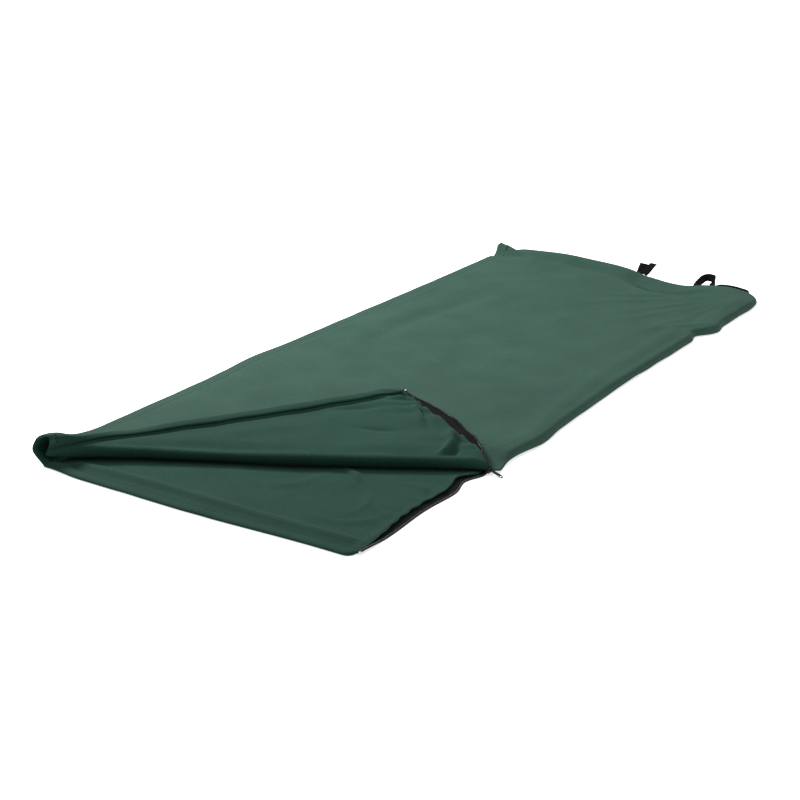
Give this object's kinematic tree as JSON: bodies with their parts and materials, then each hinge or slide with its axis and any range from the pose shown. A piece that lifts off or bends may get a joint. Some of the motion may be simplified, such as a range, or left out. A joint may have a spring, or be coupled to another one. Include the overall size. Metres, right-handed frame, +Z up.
{
  "type": "zip-up fleece camp blanket",
  "caption": "Rectangular two-layer fleece camp blanket with a zip along one side and the foot, open at the head, one corner folded back.",
  "frame": {"origin": "middle of the underside of the bottom layer, on the floor", "axes": "+X from the open head end to the foot end, +Y from the zip side to the folded side, +Z up"},
  "size_m": [1.8617, 0.8328, 0.0666],
  "materials": {
    "fleece": "brushed pile, matt",
    "fleece_inside": "brushed pile, matt, inner face",
    "zip_tape": "woven tape",
    "zip_coil": "moulded nylon coil",
    "webbing": "woven webbing",
    "gunmetal": "black lacquered zinc",
    "nickel": "plated stop"
  },
  "bodies": {
    "base": {"bottom_panel": "fleece", "side_fold": "fleece", "lower_tape": "zip_tape", "lower_chain": "zip_coil", "lower_top_stop": "nickel", "end_stop": "nickel"},
    "cover": {"top_panel": "fleece", "corner_roll": "fleece_inside", "upper_tape": "zip_tape", "upper_chain": "zip_coil"},
    "corner": {"corner_flap": "fleece_inside", "flap_tape": "zip_tape", "flap_chain": "zip_coil", "upper_top_stop": "nickel"},
    "slider": {"slider_body": "gunmetal", "slider_bridge": "gunmetal"},
    "pull": {"pull_tab": "gunmetal"},
    "flat_loop": {"foot_loop_flat": "webbing"},
    "open_loop": {"foot_loop_open": "webbing"}
  },
  "joints": [
    {"name": "cover_opens", "type": "hinge", "parent": "base", "child": "cover", "pos_m": [0, 0.38757, 0.01], "axis": [-1, 0, 0], "range_deg": [0, 165], "deforming": ["side_fold"]},
    {"name": "corner_folds", "type": "hinge", "parent": "cover", "child": "corner", "pos_m": [-0.9, 0.385, 0.0255], "axis": [0.5087, -0.8609, 0], "range_deg": [0, 180], "deforming": ["corner_roll"]},
    {"name": "slider_runs", "type": "slide", "parent": "base", "child": "slider", "axis": [1, 0, 0], "range_m": [-0.43, 1.28]},
    {"name": "pull_swings", "type": "hinge", "parent": "slider", "child": "pull", "pos_m": [-0.445, -0.3905, 0.01], "axis": [-1, 0, 0], "range_deg": [0, 90]},
    {"name": "flat_loop_lifts", "type": "hinge", "parent": "base", "child": "flat_loop", "pos_m": [0.903, -0.04, 0.01], "axis": [0, -1, 0], "range_deg": [0, 60]},
    {"name": "open_loop_lifts", "type": "hinge", "parent": "base", "child": "open_loop", "pos_m": [0.90429, -0.215, 0.01], "axis": [0, -1, 0], "range_deg": [0, 40]}
  ]
}
